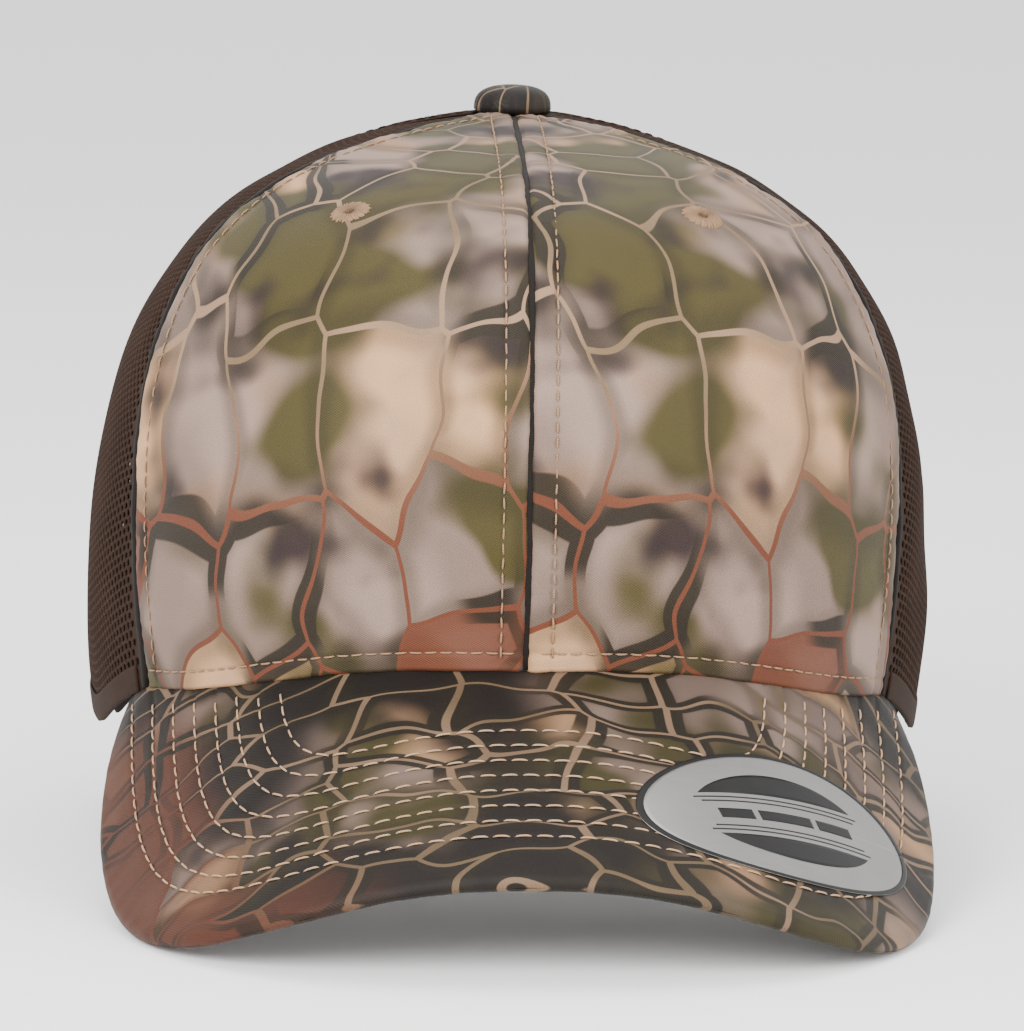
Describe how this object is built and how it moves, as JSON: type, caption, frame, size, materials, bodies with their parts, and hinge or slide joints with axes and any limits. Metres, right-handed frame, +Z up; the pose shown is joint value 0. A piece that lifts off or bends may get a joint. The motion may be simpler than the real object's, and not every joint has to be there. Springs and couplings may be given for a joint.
{
  "type": "trucker mesh cap",
  "caption": "Curved-visor cap with printed twill front panels, mesh sides and back, a covered top button and a two-part snap strap.",
  "frame": {"origin": "centre of the head opening, in the plane of the hem at the temples and back", "axes": "+Z up towards the top button, -Y towards the visor's front edge, +X towards the wearer's left"},
  "size_m": [0.1734, 0.2467, 0.1569],
  "materials": {
    "camo_twill": "fine twill, printed",
    "buckram": "stiff open weave",
    "tan_thread": "embroidery thread",
    "brown_mesh": "warp-knit polyester mesh",
    "brown_tape": "woven tape",
    "sweatband_cotton": "brushed cotton",
    "label_satin": "woven satin",
    "visor_board": "moulded sheet",
    "foil": "brushed foil, printed rim",
    "button_metal": "plain pressed",
    "strap_plastic": "satin moulded"
  },
  "bodies": {
    "crown": {"front_panel_left": "camo_twill", "buckram_left": "buckram", "eyelet_left": "tan_thread", "side_mesh_left": "brown_mesh", "rear_mesh_left": "brown_mesh", "seam_tape_front_left": "brown_tape", "seam_tape_side_left": "brown_tape", "hem_tape_left": "brown_tape", "front_panel_right": "camo_twill", "buckram_right": "buckram", "eyelet_right": "tan_thread", "side_mesh_right": "brown_mesh", "rear_mesh_right": "brown_mesh", "seam_tape_front_right": "brown_tape", "seam_tape_side_right": "brown_tape", "hem_tape_right": "brown_tape", "seam_tape_front_centre": "brown_tape", "seam_tape_rear_centre": "brown_tape", "sweatband_front": "sweatband_cotton", "sweatband_left": "sweatband_cotton", "sweatband_right": "sweatband_cotton", "size_label": "label_satin", "care_label": "label_satin", "opening_binding": "brown_tape", "visor_top_cover": "camo_twill", "visor_board": "visor_board", "visor_under_cover": "camo_twill", "visor_sticker": "foil", "button_cover": "camo_twill", "button_shell": "button_metal", "button_back": "button_metal", "button_rivet": "button_metal", "button_washer": "button_metal", "hole_strap_tab": "strap_plastic", "peg_strap_tab": "strap_plastic"},
    "hole_strap": {"hole_strap": "strap_plastic"},
    "peg_strap": {"peg_strap": "strap_plastic"}
  },
  "joints": [
    {"name": "hole_strap_hinge", "type": "hinge", "parent": "crown", "child": "hole_strap", "pos_m": [-0.035, 0.08969, 0.011], "axis": [0, 0, 1], "range_deg": [0, 80], "stiffness_Nm_per_rad": 0.02},
    {"name": "peg_strap_hinge", "type": "hinge", "parent": "crown", "child": "peg_strap", "pos_m": [0.035, 0.08814, 0.011], "axis": [0, 0, 1], "range_deg": [0, 50], "stiffness_Nm_per_rad": 0.02}
  ]
}
